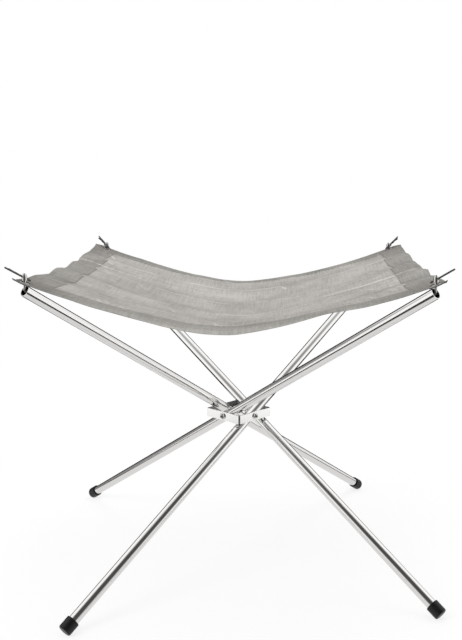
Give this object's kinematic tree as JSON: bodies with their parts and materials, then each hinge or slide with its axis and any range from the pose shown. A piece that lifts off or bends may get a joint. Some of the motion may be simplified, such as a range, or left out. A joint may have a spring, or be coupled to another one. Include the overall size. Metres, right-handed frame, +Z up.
{
  "type": "folding fire stand",
  "caption": "Collapsible campfire stand: crossed tubes pivoted on a square hub hold a sagging woven steel mesh sheet by pins and hairpin clips at its corners.",
  "frame": {"origin": "on the floor, under the middle of the hub and of the whole stand when it is open", "axes": "+Z up; +X right and +Y away from the front edge of the mesh sheet"},
  "size_m": [0.4866, 0.484, 0.3986],
  "materials": {
    "tube_steel": "polished stainless tube",
    "hub_steel": "bright rolled strip",
    "rivet_steel": "bright rivet",
    "foot_rubber": "satin black",
    "mesh_steel": "fine plain weave, matt",
    "eyelet_steel": "pressed, satin",
    "pin_steel": "turned, satin",
    "clip_steel": "spring wire"
  },
  "bodies": {
    "hub": {"hub_frame": "hub_steel", "pivot_rivet_a": "rivet_steel", "pivot_washer_a": "rivet_steel", "pivot_rivet_b": "rivet_steel", "pivot_washer_b": "rivet_steel", "pivot_rivet_c": "rivet_steel", "pivot_washer_c": "rivet_steel", "pivot_rivet_d": "rivet_steel", "pivot_washer_d": "rivet_steel"},
    "leg_a": {"leg_tube_a": "tube_steel", "foot_cap_a": "foot_rubber"},
    "leg_b": {"leg_tube_b": "tube_steel", "foot_cap_b": "foot_rubber"},
    "leg_c": {"leg_tube_c": "tube_steel", "foot_cap_c": "foot_rubber"},
    "leg_d": {"leg_tube_d": "tube_steel", "foot_cap_d": "foot_rubber"},
    "mesh": {"mesh_sheet": "mesh_steel", "corner_pin_a": "pin_steel", "hairpin_clip_a": "clip_steel", "eyelet_a": "eyelet_steel", "eyelet_washer_a": "eyelet_steel", "corner_pin_b": "pin_steel", "hairpin_clip_b": "clip_steel", "eyelet_b": "eyelet_steel", "eyelet_washer_b": "eyelet_steel", "corner_pin_c": "pin_steel", "hairpin_clip_c": "clip_steel", "eyelet_c": "eyelet_steel", "eyelet_washer_c": "eyelet_steel", "corner_pin_d": "pin_steel", "hairpin_clip_d": "clip_steel", "eyelet_d": "eyelet_steel", "eyelet_washer_d": "eyelet_steel"}
  },
  "joints": [
    {"name": "frame_fold", "type": "hinge", "parent": "hub", "child": "leg_a", "pos_m": [-0.01506, -0.01506, 0.18732], "axis": [-0.7071, -0.7071, 0], "range_deg": [0, 58]},
    {"name": "fold_b", "type": "hinge", "parent": "hub", "child": "leg_b", "pos_m": [0.01506, -0.01506, 0.18732], "axis": [0.7071, -0.7071, 0], "range_deg": [0, 58]},
    {"name": "fold_c", "type": "hinge", "parent": "hub", "child": "leg_c", "pos_m": [0.01506, 0.01506, 0.18732], "axis": [0.7071, 0.7071, 0], "range_deg": [0, 58]},
    {"name": "fold_d", "type": "hinge", "parent": "hub", "child": "leg_d", "pos_m": [-0.01506, 0.01506, 0.18732], "axis": [-0.7071, 0.7071, 0], "range_deg": [0, 58]},
    {"name": "mesh_lift", "type": "slide", "parent": "hub", "child": "mesh", "axis": [0, 0, 1], "range_m": [0, 0.42]}
  ],
  "couplings": [
    {"joint": "fold_b", "follows": "frame_fold", "ratio": 1},
    {"joint": "fold_c", "follows": "frame_fold", "ratio": 1},
    {"joint": "fold_d", "follows": "frame_fold", "ratio": 1},
    {"joint": "mesh_lift", "follows": "frame_fold", "m_per_rad": 0.41}
  ]
}
